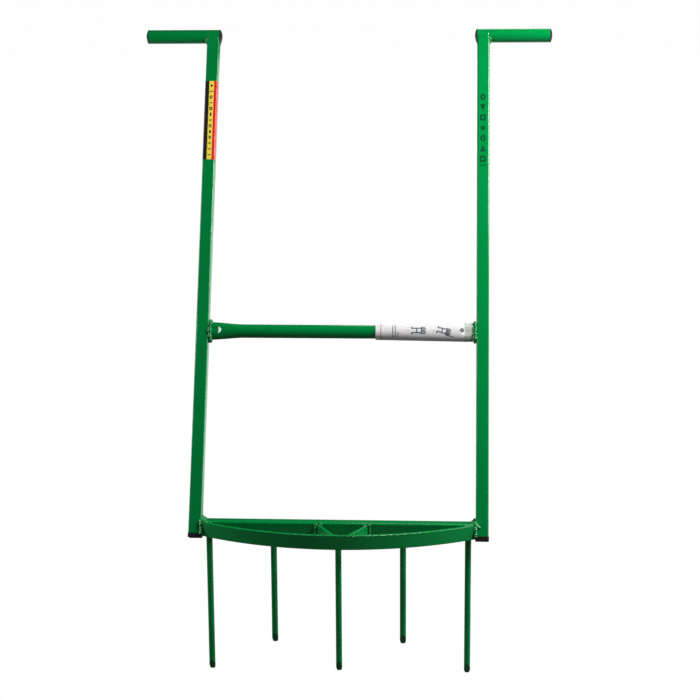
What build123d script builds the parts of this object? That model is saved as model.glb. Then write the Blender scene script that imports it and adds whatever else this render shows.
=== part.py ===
from build123d import *
import os
from math import cos, radians, sin, sqrt, tan

# Broadfork: a wide digging fork worked with two handles.
# Millimetres and degrees. The origin is the middle of the foot bar's top face, +Z points up along
# the tines, +Y points to the side that the arms lean to, where the user stands.

# Arms
ARM_SPACING = 553.0        # between the two arms' centre lines
ARM_LEAN = 24.0            # lean of the arms away from the tines' line
ARM_WIDTH = 25.0           # square tube
ARM_WALL = 2.0
ARM_CORNER = 3.0
ARM_FOOT_Y = -6.0          # arm's centre line at the level of the foot bar's underside
ARM_FOOT_DROP = 1.0        # the tube goes this far past that level, down its own centre line

# Handles, round tube on top of the arms
HANDLE_HEIGHT = 1020.0     # along the arm, from the level of the foot bar's underside
HANDLE_DIAMETER = 28.0
HANDLE_WALL = 2.0
HANDLE_LENGTH = 147.0

# Crossbar, round tube with both ends squeezed to a tall oval and pressed flat in front and behind
CROSSBAR_HEIGHT = 400.0    # along the arm
CROSSBAR_DIAMETER = 26.9
CROSSBAR_WALL = 2.0
CROSSBAR_END_TALL = 36.0
CROSSBAR_END_DEEP = 24.0   # of the oval, before it is pressed flat
CROSSBAR_SQUEEZE = 72.0    # length over which the tube turns oval
SQUEEZE_STEPS = 6
FLAT_DEEP = 22.4           # across the two pressed flats
FLAT_LENGTH = 20.0         # from the arm's face
FLAT_RAMP = 16.0           # length of the slope from the flat up to the full tube

# Foot bar, square tube between the arms' feet
BAR_WIDTH = 25.0
BAR_WALL = 2.0
BAR_CORNER = 3.0

# Bow, one flat bar on edge bent to an arc in front of the foot bar
BOW_RADIUS = 503.0         # to the middle of the flat bar's thickness
BOW_REACH = 73.1           # from the foot bar's front face, at the middle
BOW_THICKNESS = 7.0
BOW_HEIGHT = 28.0
BOW_END_GAP = 1.0          # weld gap between the bow's ends and the arms
FLAT_EDGE = 0.8            # rounded edges of the flat bars

# Struts, two flat bars on edge between the foot bar and the bow
STRUT_THICKNESS = 6.0
STRUT_HEIGHT = 25.0
STRUT_REAR_HALF_SPACING = 47.0
STRUT_FRONT_HALF_SPACING = 9.0
STRUT_OFFSET = 9.5         # the pair sits this far to the +X side of the middle

# Tines, round bar butted under the foot bar
TINE_COUNT = 5
TINE_PITCH = 125.0
TINE_DIAMETER = 12.0
TINE_LONG = 282.0          # below the foot bar
TINE_SHORT = 224.0         # second and fourth tine
TINE_BEVEL_LENGTH = 21.0   # the chisel cut faces forwards and down
TINE_LAND = 1.0            # width of the blunt edge left at the tip

# Plastic plugs
PLUG_RIM = 1.5
PLUG_DOME = 3.5
PLUG_STEM = 15.0
PLUG_STEM_GAP = 0.1
FOOT_PLUG_WIDTH = 26.5
FOOT_PLUG_HEAD = 8.0
FOOT_PLUG_CORNER = 3.5
FOOT_PLUG_EDGE = 1.5

# Label sleeve, a tapered film tube round the crossbar
LABEL_START = 66.5         # distance from the middle, along the crossbar
LABEL_END = 256.0
LABEL_FILM = 0.4
LABEL_SLACK = 1.05         # the sleeve's narrow end is this much larger in radius than the tube
LABEL_SAG = 0.9            # the loose narrow end hangs this far down
LABEL_END_TALL = 37.0
LABEL_END_DEEP = 27.5

# Decal on the left arm and cut vinyl marks on the right arm
DECAL_START = 752.0        # along the arm
DECAL_END = 919.0
DECAL_FILM = 0.25
DECAL_WRAP = 10.0          # how far it goes round onto the arm's two side faces
MARK_START = 747.0         # lower edge of the lowest mark, along the arm
MARK_PITCH = 21.7
MARK_COUNT = 7
MARK_WIDTH = 11.0
MARK_HEIGHT = 12.6
MARK_FILM = 0.2
MARK_SHIFT = -0.8          # the column sits slightly inwards on the arm's face
UNDERLINE_HEIGHT = 1.6
UNDERLINE_GAP = 8.0

# Weld beads
WELD_LEG = 5.0
CROSSBAR_WELD_LENGTH = 7.0
HANDLE_WELD_RADIUS = 17.5
CORNER_BEAD_RADIUS = 3.5
END_FILL = 3.0             # weld that closes the foot bar's ends where the arm leaves them open
STRUT_BEAD_RADIUS = 3.0
TINE_WELD_LEG = 3.0

# Derived places
ARM_HALF = ARM_WIDTH / 2
ARM_INNER_X = ARM_SPACING / 2 - ARM_HALF
ARM_OUTER_X = ARM_SPACING / 2 + ARM_HALF
HANDLE_RADIUS = HANDLE_DIAMETER / 2
CROSSBAR_RADIUS = CROSSBAR_DIAMETER / 2
TINE_RADIUS = TINE_DIAMETER / 2
BAR_FRONT_Y = -BAR_WIDTH / 2
BOW_MIDDLE_Y = BAR_FRONT_Y - BOW_REACH
BOW_CENTRE_Y = BOW_MIDDLE_Y + BOW_RADIUS
BOW_INNER_RADIUS = BOW_RADIUS - BOW_THICKNESS / 2

UPWARDS = (Align.CENTER, Align.CENTER, Align.MIN)
DOWNWARDS = (Align.CENTER, Align.CENTER, Align.MAX)
RIGHTWARDS = (Align.MIN, Align.CENTER, Align.CENTER)
FAR = 2000.0               # larger than the whole fork, for cutting

LEAN_SIN = sin(radians(ARM_LEAN))
LEAN_COS = cos(radians(ARM_LEAN))


def arm_frame(side):
    """Frame on an arm's centre line: local Z up the arm, local X across, local -Y its front face."""
    foot = (side * ARM_SPACING / 2, ARM_FOOT_Y, -BAR_WIDTH)
    return Plane(origin=foot, x_dir=(1, 0, 0), z_dir=(0, LEAN_SIN, LEAN_COS))


def crossbar_frame(along):
    """Section plane of the crossbar: local X up the arms, local Y forwards, local Z towards +X."""
    y = ARM_FOOT_Y + CROSSBAR_HEIGHT * LEAN_SIN
    z = -BAR_WIDTH + CROSSBAR_HEIGHT * LEAN_COS
    return Plane(origin=(along, y, z), x_dir=(0, LEAN_SIN, LEAN_COS), z_dir=(1, 0, 0))


def square_tube(width, wall, corner, length):
    """Square tube standing on the XY plane."""
    inner = width - 2 * wall
    section = RectangleRounded(width, width, corner)
    section -= RectangleRounded(inner, inner, max(corner - wall, wall / 2))
    return extrude(section, length)


def square_bar(width, corner, length):
    """Solid square bar standing on the XY plane: the outside of a square tube."""
    return extrude(RectangleRounded(width, width, corner), length)


def cylinder_across(radius, length):
    """Cylinder along X, from x = 0 to x = length."""
    return Rot(0, 90, 0) * Cylinder(radius, length, align=UPWARDS)


# Arms and handles

def handle_envelope(side):
    """Outside of a handle tube, from the arm's inner face outwards."""
    whole = Pos(-ARM_HALF, 0, HANDLE_HEIGHT) * cylinder_across(HANDLE_RADIUS, HANDLE_LENGTH)
    return arm_frame(side) * (whole if side > 0 else mirror(whole, about=Plane.YZ))


def arm_envelope(side):
    """Outside of an arm with its coped top."""
    saddle_tip = HANDLE_HEIGHT - sqrt(HANDLE_RADIUS ** 2 - ARM_HALF ** 2)
    bar = Pos(0, 0, -ARM_FOOT_DROP) * square_bar(ARM_WIDTH, ARM_CORNER, saddle_tip + ARM_FOOT_DROP)
    return arm_frame(side) * bar - handle_envelope(side)


def arm(side):
    """Square tube, coped to the handle at the top and cut square at the foot."""
    bore_width = ARM_WIDTH - 2 * ARM_WALL
    bore = Pos(0, 0, -ARM_FOOT_DROP) * square_bar(bore_width, ARM_CORNER - ARM_WALL, HANDLE_HEIGHT)
    return arm_envelope(side) - arm_frame(side) * bore


def handle(side):
    """Round handle tube."""
    bore = Pos(-HANDLE_LENGTH, 0, HANDLE_HEIGHT)
    bore *= cylinder_across(HANDLE_RADIUS - HANDLE_WALL, 3 * HANDLE_LENGTH)
    return handle_envelope(side) - arm_frame(side) * bore


def round_plug():
    """Domed plug for a handle end: head above the XY plane, stem below it."""
    rim = Cylinder(HANDLE_RADIUS, PLUG_RIM, align=UPWARDS)
    dome_radius = (HANDLE_RADIUS ** 2 + PLUG_DOME ** 2) / (2 * PLUG_DOME)
    cap = Pos(0, 0, PLUG_RIM + PLUG_DOME - dome_radius) * Sphere(dome_radius)
    cap &= Pos(0, 0, PLUG_RIM) * Cylinder(HANDLE_RADIUS, PLUG_DOME, align=UPWARDS)
    stem_radius = HANDLE_RADIUS - HANDLE_WALL - PLUG_STEM_GAP
    return rim + cap + Cylinder(stem_radius, PLUG_STEM, align=DOWNWARDS)


def handle_plug(side, outer):
    """Plug in a handle's outer end, or in the inner end that shows inside the arm."""
    reach = -ARM_HALF + (HANDLE_LENGTH if outer else 0)
    turn = 90 * side * (1 if outer else -1)
    return arm_frame(side) * (Pos(side * reach, 0, HANDLE_HEIGHT) * Rot(0, turn, 0) * round_plug())


def foot_plug(side):
    """Square plug in an arm's foot: flat head below the tube, stem inside it."""
    head = Pos(0, 0, -FOOT_PLUG_HEAD) * square_bar(FOOT_PLUG_WIDTH, FOOT_PLUG_CORNER, FOOT_PLUG_HEAD)
    head = fillet(head.edges().group_by(Axis.Z)[0], FOOT_PLUG_EDGE)
    stem_width = ARM_WIDTH - 2 * (ARM_WALL + PLUG_STEM_GAP)
    stem = square_bar(stem_width, ARM_CORNER - ARM_WALL, PLUG_STEM)
    return arm_frame(side) * (Pos(0, 0, -ARM_FOOT_DROP) * (head + stem)) - foot_bar_envelope()


# Crossbar and its label

def squeeze_share(from_arm):
    """1 at the arm's face, falling smoothly to 0 where the crossbar is round again."""
    s = min(from_arm / CROSSBAR_SQUEEZE, 1.0)
    return 1 - s * s * (3 - 2 * s)


def crossbar_section(along, offset):
    """Oval or round outline of the crossbar at a place along it, grown by an offset."""
    share = squeeze_share(ARM_INNER_X - abs(along))
    tall = CROSSBAR_RADIUS + share * (CROSSBAR_END_TALL / 2 - CROSSBAR_RADIUS) + offset
    deep = CROSSBAR_RADIUS + share * (CROSSBAR_END_DEEP / 2 - CROSSBAR_RADIUS) + offset
    outline = Ellipse(tall, deep) if share > 0 else Circle(tall)
    return crossbar_frame(along) * outline


def press_slab(offset):
    """What the press leaves free: a slab along the crossbar, thinner at both ends."""
    flat = FLAT_DEEP / 2 + offset
    full = CROSSBAR_RADIUS + offset + 1
    ramp_end = ARM_INNER_X - FLAT_LENGTH - FLAT_RAMP
    front_edge = [(ARM_INNER_X, flat), (ARM_INNER_X - FLAT_LENGTH, flat), (ramp_end, full)]
    front_edge += [(-x, depth) for x, depth in reversed(front_edge)]
    rear_edge = [(x, -depth) for x, depth in reversed(front_edge)]
    middle = crossbar_frame(0).origin
    across = Plane(origin=middle, x_dir=(1, 0, 0), z_dir=(0, LEAN_SIN, LEAN_COS))
    outline = make_face(Polyline(*front_edge, *rear_edge, close=True))
    return across * extrude(outline, CROSSBAR_END_TALL, both=True)


def crossbar_envelope(offset):
    """Solid with the crossbar's outline: a round middle and two squeezed, pressed ends."""
    round_half = ARM_INNER_X - CROSSBAR_SQUEEZE
    step = CROSSBAR_SQUEEZE / SQUEEZE_STEPS
    solid = extrude(crossbar_section(-round_half, offset), 2 * round_half, dir=(1, 0, 0))
    for side in (-1, 1):
        stations = [side * (round_half + n * step) for n in range(SQUEEZE_STEPS + 1)]
        solid += loft([crossbar_section(along, offset) for along in stations])
    return solid & press_slab(offset)


def crossbar():
    """Crossbar tube."""
    return crossbar_envelope(0) - crossbar_envelope(-CROSSBAR_WALL)


def label_sleeve():
    """Film sleeve: round and loose at its inner end, stretched tall over the squeezed end."""
    start_radius = CROSSBAR_RADIUS + LABEL_SLACK

    def body(film):
        narrow = crossbar_frame(LABEL_START) * (Pos(-LABEL_SAG, 0, 0) * Circle(start_radius + film))
        wide = Ellipse(LABEL_END_TALL / 2 + film, LABEL_END_DEEP / 2 + film)
        return loft([narrow, crossbar_frame(LABEL_END) * wide], ruled=True)

    return body(LABEL_FILM) - body(0)


# Base

def foot_bar_start(past_arm=0.0):
    """Plane across the foot bar's left end, or that much further left: local Z runs along the bar."""
    return Plane(origin=(-ARM_INNER_X - past_arm, 0, -BAR_WIDTH / 2), x_dir=(0, 1, 0), z_dir=(1, 0, 0))


def foot_bar_envelope(past_arm=0.0):
    """Outside of the foot bar, made that much longer at both ends."""
    return foot_bar_start(past_arm) * square_bar(BAR_WIDTH, BAR_CORNER, 2 * (ARM_INNER_X + past_arm))


def foot_bar():
    """Square tube between the arms' inner faces, its top face at z = 0."""
    return foot_bar_start() * square_tube(BAR_WIDTH, BAR_WALL, BAR_CORNER, 2 * ARM_INNER_X)


def in_front_of_foot_bar(end_gap=0.0):
    """Everything between the arms and in front of the foot bar's front face."""
    return Pos(0, BAR_FRONT_Y - FAR / 2, 0) * Box(2 * (ARM_INNER_X - end_gap), FAR, FAR)


def bow_cylinder(radius):
    """Upright cylinder about the bow's centre, as tall as the bow."""
    return Pos(0, BOW_CENTRE_Y, 0) * Cylinder(radius, BOW_HEIGHT, align=DOWNWARDS)


def bow():
    """Flat bar on edge, its ends trimmed just short of the arms and to the foot bar's front face."""
    ring = bow_cylinder(BOW_RADIUS + BOW_THICKNESS / 2) - bow_cylinder(BOW_INNER_RADIUS)
    ring = fillet(ring.edges().filter_by(GeomType.CIRCLE), FLAT_EDGE)
    return ring & in_front_of_foot_bar(BOW_END_GAP)


def strut_line(side):
    """Rear and front ends of a strut's centre line, seen from above."""
    rear = Vector(STRUT_OFFSET + side * STRUT_REAR_HALF_SPACING, BAR_FRONT_Y)
    front = Vector(STRUT_OFFSET + side * STRUT_FRONT_HALF_SPACING, BOW_MIDDLE_Y)
    return rear, front


def strut_blank(side):
    """Long flat bar on edge along a strut's centre line, before its ends are trimmed."""
    rear, front = strut_line(side)
    along = (front - rear).normalized()
    middle = (rear + front) / 2
    mid_height = STRUT_HEIGHT / 2 - BOW_HEIGHT
    section = Plane(origin=(middle.X, middle.Y, mid_height), x_dir=(0, 0, 1), z_dir=along)
    outline = RectangleRounded(STRUT_HEIGHT, STRUT_THICKNESS, FLAT_EDGE)
    return section * extrude(outline, (front - rear).length, both=True)


def strut(side):
    """Flat bar on edge from the foot bar to the inside of the bow."""
    return strut_blank(side) & in_front_of_foot_bar() & bow_cylinder(BOW_INNER_RADIUS)


def tine(index):
    """Round tine under the foot bar with a chisel cut that faces forwards and down."""
    length = TINE_SHORT if index % 2 else TINE_LONG
    rod = Cylinder(TINE_RADIUS, length, align=DOWNWARDS)
    edge_y = TINE_RADIUS - TINE_LAND
    cut_normal = (0, TINE_BEVEL_LENGTH, edge_y + TINE_RADIUS)
    rod = split(rod, bisect_by=Plane(origin=(0, edge_y, -length), z_dir=cut_normal), keep=Keep.TOP)
    across = (index - (TINE_COUNT - 1) / 2) * TINE_PITCH
    return Pos(across, 0, -BAR_WIDTH) * rod


# Decal and marks

def decal():
    """Film on the left arm's front face, going round onto both side faces."""
    length = DECAL_END - DECAL_START
    grown = ARM_WIDTH + 2 * DECAL_FILM
    skin = square_bar(grown, ARM_CORNER + DECAL_FILM, length) - square_bar(ARM_WIDTH, ARM_CORNER, length)
    front = Pos(0, -ARM_HALF - DECAL_FILM, 0)
    front *= Box(FAR, DECAL_FILM + DECAL_WRAP, length, align=(Align.CENTER, Align.MIN, Align.MIN))
    return arm_frame(-1) * (Pos(0, 0, DECAL_START) * (skin & front))


def mark(width, height):
    """One thin vinyl mark on an arm's front face, its lower edge at local z = 0."""
    film = Box(width, MARK_FILM, height, align=(Align.CENTER, Align.MAX, Align.MIN))
    return Pos(MARK_SHIFT, -ARM_HALF, 0) * film


def arm_marks():
    """Column of equal plain marks and a short underline on the right arm."""
    heights = [MARK_START + n * MARK_PITCH for n in range(MARK_COUNT)]
    column = [Pos(0, 0, height) * mark(MARK_WIDTH, MARK_HEIGHT) for height in heights]
    column.append(Pos(0, 0, MARK_START - UNDERLINE_GAP) * mark(MARK_WIDTH, UNDERLINE_HEIGHT))
    return arm_frame(1) * Compound(children=column)


# Weld beads, each trimmed by the pieces that it joins

def crossbar_weld(side):
    """Bead round the crossbar's end on the arm's inner face."""
    face = crossbar_frame(side * ARM_INNER_X)
    foot = Ellipse(CROSSBAR_END_TALL / 2 + WELD_LEG, ARM_HALF)
    toe = Ellipse(CROSSBAR_END_TALL / 2 + LABEL_FILM, FLAT_DEEP / 2 + LABEL_FILM)
    inner_end = side * (ARM_INNER_X - CROSSBAR_WELD_LENGTH)
    cone = loft([face * foot, crossbar_frame(inner_end) * toe], ruled=True)
    return cone - crossbar_envelope(0)


def handle_weld(side):
    """Bead round the saddle between an arm's top and its handle."""
    wrap = Pos(-ARM_HALF, 0, HANDLE_HEIGHT - HANDLE_RADIUS) * Box(
        ARM_WIDTH + WELD_LEG, ARM_WIDTH + WELD_LEG, HANDLE_RADIUS, align=RIGHTWARDS)
    collar = wrap & (Pos(-ARM_HALF, 0, HANDLE_HEIGHT) * cylinder_across(HANDLE_WELD_RADIUS, HANDLE_LENGTH))
    collar = arm_frame(side) * (collar if side > 0 else mirror(collar, about=Plane.YZ))
    return collar - handle_envelope(side) - arm_frame(side) * square_bar(ARM_WIDTH, ARM_CORNER, HANDLE_HEIGHT)


def base_weld(side):
    """Upright bead where the bow ends at the arm, and the fill that closes the foot bar's end."""
    bead_y = BAR_FRONT_Y - CORNER_BEAD_RADIUS / 2
    post = Pos(side * ARM_INNER_X, bead_y, 0) * Cylinder(CORNER_BEAD_RADIUS, BAR_WIDTH, align=DOWNWARDS)
    post &= in_front_of_foot_bar()
    beyond = Pos(side * (ARM_INNER_X + FAR / 2), 0, 0) * Box(FAR, FAR, FAR)
    fill = foot_bar_envelope(END_FILL) & beyond
    return (post - bow() + fill) - arm_envelope(side) - foot_plug(side)


def strut_welds():
    """Upright beads on both sides of each strut, at the foot bar and at the bow."""
    beads = []
    for side in (-1, 1):
        rear, front = strut_line(side)
        along = (front - rear).normalized()
        across = Vector(-along.Y, along.X) * (STRUT_THICKNESS / 2 + STRUT_BEAD_RADIUS / 2)
        for end in (rear, front - along * BOW_THICKNESS):
            for hand in (-1, 1):
                place = end + across * hand
                rod = Cylinder(STRUT_BEAD_RADIUS, STRUT_HEIGHT - STRUT_BEAD_RADIUS, align=UPWARDS)
                beads.append(Pos(place.X, place.Y, -BOW_HEIGHT) * rod)
    welds = beads[0] + beads[1:]
    welds &= in_front_of_foot_bar() & bow_cylinder(BOW_INNER_RADIUS)
    return welds - strut_blank(-1) - strut_blank(1)


def tine_welds():
    """Fillet ring round each tine under the foot bar."""
    rings = []
    for index in range(TINE_COUNT):
        across = (index - (TINE_COUNT - 1) / 2) * TINE_PITCH
        cone = Cone(TINE_RADIUS, TINE_RADIUS + TINE_WELD_LEG, TINE_WELD_LEG, align=DOWNWARDS)
        ring = cone - Cylinder(TINE_RADIUS, 2 * TINE_WELD_LEG, align=DOWNWARDS)
        rings.append(Pos(across, 0, -BAR_WIDTH) * ring)
    return Compound(children=rings)


def side_pieces(name, side):
    """All pieces that exist once on each side, by node name."""
    return {
        f"{name}_arm": arm(side),
        f"{name}_handle": handle(side),
        f"{name}_handle_outer_plug": handle_plug(side, outer=True),
        f"{name}_handle_inner_plug": handle_plug(side, outer=False),
        f"{name}_foot_plug": foot_plug(side),
        f"{name}_strut": strut(side),
        f"{name}_handle_weld": handle_weld(side),
        f"{name}_crossbar_weld": crossbar_weld(side),
        f"{name}_base_weld": base_weld(side),
    }


def all_pieces():
    """Every piece of the fork, by node name."""
    pieces = side_pieces("left", -1) | side_pieces("right", 1)
    pieces |= {"crossbar": crossbar(), "foot_bar": foot_bar(), "bow": bow()}
    pieces |= {f"tine_{index + 1}": tine(index) for index in range(TINE_COUNT)}
    pieces |= {"strut_welds": strut_welds(), "tine_welds": tine_welds()}
    pieces |= {"label_sleeve": label_sleeve(), "arm_decal": decal(), "arm_marks": arm_marks()}
    return pieces


os.makedirs("parts", exist_ok=True)
for node, shape in all_pieces().items():
    export_step(shape, f"parts/{node}.step")
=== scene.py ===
import logging
import math
import random
from dataclasses import dataclass, field
from enum import Enum

import bpy
from mathutils import Matrix, Vector


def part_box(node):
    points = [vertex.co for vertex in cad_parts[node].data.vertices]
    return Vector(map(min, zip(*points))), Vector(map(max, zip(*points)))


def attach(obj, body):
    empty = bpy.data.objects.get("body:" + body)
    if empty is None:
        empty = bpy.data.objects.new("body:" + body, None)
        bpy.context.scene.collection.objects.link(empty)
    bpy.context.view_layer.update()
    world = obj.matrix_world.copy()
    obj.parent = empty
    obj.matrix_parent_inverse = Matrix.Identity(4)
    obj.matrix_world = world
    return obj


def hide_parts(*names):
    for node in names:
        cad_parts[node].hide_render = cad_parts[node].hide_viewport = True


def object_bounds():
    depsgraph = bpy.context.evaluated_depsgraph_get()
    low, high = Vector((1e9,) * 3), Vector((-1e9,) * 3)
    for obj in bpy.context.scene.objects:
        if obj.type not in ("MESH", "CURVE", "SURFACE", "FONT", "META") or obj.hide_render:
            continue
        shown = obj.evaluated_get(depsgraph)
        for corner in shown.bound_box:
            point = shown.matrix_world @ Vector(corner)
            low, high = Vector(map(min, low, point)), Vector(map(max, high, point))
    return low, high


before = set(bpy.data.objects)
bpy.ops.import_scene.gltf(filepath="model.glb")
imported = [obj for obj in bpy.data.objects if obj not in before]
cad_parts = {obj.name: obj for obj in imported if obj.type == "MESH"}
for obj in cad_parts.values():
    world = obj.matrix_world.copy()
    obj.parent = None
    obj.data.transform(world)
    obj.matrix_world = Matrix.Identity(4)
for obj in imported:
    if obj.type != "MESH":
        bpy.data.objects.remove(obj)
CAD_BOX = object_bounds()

# A welded steel broadfork in a small studio. The frame brings the tubes, flat bars, tines and plugs. This
# script lays the weld beads, wraps the label sleeve, prints the decal and the marks, and gives every surface
# its finish. Lengths are in metres.

LOG = logging.getLogger("broadfork")
MM = 0.001
BODY = "root"
Piece = bpy.types.Object
Tree = bpy.types.NodeTree
Socket = bpy.types.NodeSocket


# ---- colours and nodes

def linear(hex_colour: str) -> tuple[float, float, float, float]:
    """Turns an sRGB hex colour into linear light.

    Args:
        hex_colour: Six hex digits with a leading hash.

    Returns:
        Red, green, blue and an alpha of 1.
    """
    values = []
    for start in (1, 3, 5):
        share = int(hex_colour[start:start + 2], 16) / 255
        values.append(share / 12.92 if share <= 0.04045 else ((share + 0.055) / 1.055) ** 2.4)
    return (*values, 1.0)


def add_node(tree: Tree, kind: str, settings: dict | None = None,
             links: dict | None = None) -> bpy.types.Node:
    """Adds one node with its settings and links.

    Args:
        tree: The node tree that gets the node.
        kind: The node's type name.
        settings: Properties by name, and input values by name or place.
        links: Output sockets by the name or place of the input that they feed.

    Returns:
        The new node.
    """
    node = tree.nodes.new(kind)
    for key, value in (settings or {}).items():
        if isinstance(key, str) and hasattr(node, key):
            setattr(node, key, value)
        else:
            node.inputs[key].default_value = value
    for key, socket in (links or {}).items():
        tree.links.new(socket, node.inputs[key])
    return node


def per_metre(size_mm: float) -> float:
    """Noise scale whose lumps are about this many millimetres across."""
    return 1 / (size_mm * MM)


def shades(tree: Tree, place: Socket, colours: tuple[str, str], size_mm: float,
           detail: float = 3.0) -> tuple[Socket, Socket]:
    """Adds slow patches that run between two close colours.

    Args:
        tree: The node tree.
        place: Object coordinates.
        colours: The two colours, as sRGB hex.
        size_mm: The patches' size.
        detail: How fine their edges are.

    Returns:
        The patches from 0 to 1, and the colour.
    """
    patches = add_node(tree, "ShaderNodeTexNoise", {"Scale": per_metre(size_mm), "Detail": detail},
                       {"Vector": place}).outputs["Fac"]
    first, second = (linear(colour) for colour in colours)
    mixed = add_node(tree, "ShaderNodeMix", {"data_type": "RGBA", 6: first, 7: second}, {0: patches})
    return patches, mixed.outputs[2]


def relief(tree: Tree, place: Socket, size_mm: float, height_mm: float,
           detail: float = 2.0, strength: float = 1.0) -> Socket:
    """Adds a shallow uneven relief.

    Args:
        tree: The node tree.
        place: Object coordinates.
        size_mm: The size of its lumps.
        height_mm: Their height.
        detail: How fine they are.
        strength: The bump's strength.

    Returns:
        The normals.
    """
    lumps = add_node(tree, "ShaderNodeTexNoise", {"Scale": per_metre(size_mm), "Detail": detail},
                     {"Vector": place})
    bump = add_node(tree, "ShaderNodeBump", {"Strength": strength, "Distance": height_mm * MM},
                    {"Height": lumps.outputs["Fac"]})
    return bump.outputs["Normal"]


class Finish:
    """A surface finish that makes its material once."""

    name: str

    def material(self) -> bpy.types.Material:
        """Gives the finish's material, making it the first time.

        Returns:
            The material.
        """
        found = bpy.data.materials.get(self.name)
        if found:
            return found
        made = bpy.data.materials.new(self.name)
        made.use_nodes = True
        made.node_tree.nodes.clear()
        self.build(made.node_tree)
        return made

    def build(self, tree: Tree) -> None:
        """Adds the finish's nodes to an empty tree."""
        raise NotImplementedError

    def dress(self, piece: Piece) -> None:
        """Gives the piece this finish in all its slots."""
        piece.data.materials.clear()
        piece.data.materials.append(self.material())


def close_tree(tree: Tree, shader: Socket) -> None:
    """Links a shader to the material output."""
    add_node(tree, "ShaderNodeOutputMaterial", links={"Surface": shader})


@dataclass(frozen=True)
class PowderCoat(Finish):
    """Polyester powder coat baked on steel: smooth, glossy, with a faint orange peel."""

    name: str = "powder_coat_green"
    colour: str = "#00873F"
    thin_colour: str = "#007A39"
    roughness: float = 0.13
    specular: float = 0.42
    patch_mm: float = 90.0
    glossier: float = 0.02
    duller: float = 0.03
    peel_mm: float = 5.0
    peel_height_mm: float = 0.004
    lump_mm: float = 0.0
    lump_height_mm: float = 0.0

    def build(self, tree: Tree) -> None:
        """Adds the coat: even colour with slow patches, and the peel as a shallow bump."""
        place = add_node(tree, "ShaderNodeTexCoord").outputs["Object"]
        patches, colour = shades(tree, place, (self.colour, self.thin_colour), self.patch_mm)
        # The real peel is 1.5 to 2 mm across, drawn coarser so that it shows at this distance.
        normal = relief(tree, place, self.peel_mm, self.peel_height_mm, detail=1.5)
        if self.lump_mm:
            lumps = add_node(
                tree, "ShaderNodeTexVoronoi", {"feature": "SMOOTH_F1", "Scale": per_metre(self.lump_mm)},
                {"Vector": place})
            normal = add_node(tree, "ShaderNodeBump", {"Strength": 1.0, "Distance": self.lump_height_mm * MM},
                              {"Height": lumps.outputs["Distance"], "Normal": normal}).outputs["Normal"]
        gloss = add_node(
            tree, "ShaderNodeMapRange",
            {"To Min": self.roughness - self.glossier, "To Max": self.roughness + self.duller},
            {"Value": patches})
        shader = add_node(
            tree, "ShaderNodeBsdfPrincipled", {"IOR": 1.5, "Specular IOR Level": self.specular},
            {"Base Color": colour, "Roughness": gloss.outputs["Result"], "Normal": normal})
        close_tree(tree, shader.outputs["BSDF"])


@dataclass(frozen=True)
class MouldedPolyethylene(Finish):
    """Injection-moulded black polyethylene: satin, with the mould's fine spark grain."""

    name: str = "moulded_polyethylene"
    colour: str = "#0B0B0B"
    worn_colour: str = "#131314"
    rub_mm: float = 12.0
    rubbed: float = 0.36
    as_moulded: float = 0.55
    grain_mm: float = 1.2
    grain_height_mm: float = 0.02

    def build(self, tree: Tree) -> None:
        """Adds the plastic: near-black with paler rubbed patches, and a fine grain."""
        place = add_node(tree, "ShaderNodeTexCoord").outputs["Object"]
        rub, colour = shades(tree, place, (self.colour, self.worn_colour), self.rub_mm, detail=4.0)
        normal = relief(tree, place, self.grain_mm, self.grain_height_mm, strength=0.8)
        gloss = add_node(tree, "ShaderNodeMapRange", {"To Min": self.rubbed, "To Max": self.as_moulded},
                         {"Value": rub})
        shader = add_node(
            tree, "ShaderNodeBsdfPrincipled", {"IOR": 1.51, "Specular IOR Level": 0.4},
            {"Base Color": colour, "Roughness": gloss.outputs["Result"], "Normal": normal})
        close_tree(tree, shader.outputs["BSDF"])


@dataclass(frozen=True)
class Film(Finish):
    """Printed or cut plastic film: one ink or film colour, slightly uneven, with shallow waves."""

    name: str
    colour: str
    second_colour: str
    roughness: float = 0.35
    wave_mm: float = 9.0
    wave_height_mm: float = 0.1
    specular: float = 0.45
    alpha: float = 1.0
    patch_mm: float = 25.0

    def build(self, tree: Tree) -> None:
        """Adds the film: two close shades in slow patches, and waves where it isn't pulled tight."""
        place = add_node(tree, "ShaderNodeTexCoord").outputs["Object"]
        _, colour = shades(tree, place, (self.colour, self.second_colour), self.patch_mm)
        normal = relief(tree, place, self.wave_mm, self.wave_height_mm)
        shader = add_node(
            tree, "ShaderNodeBsdfPrincipled",
            {"Roughness": self.roughness, "IOR": 1.5, "Specular IOR Level": self.specular,
             "Alpha": self.alpha},
            {"Base Color": colour, "Normal": normal})
        close_tree(tree, shader.outputs["BSDF"])


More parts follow.
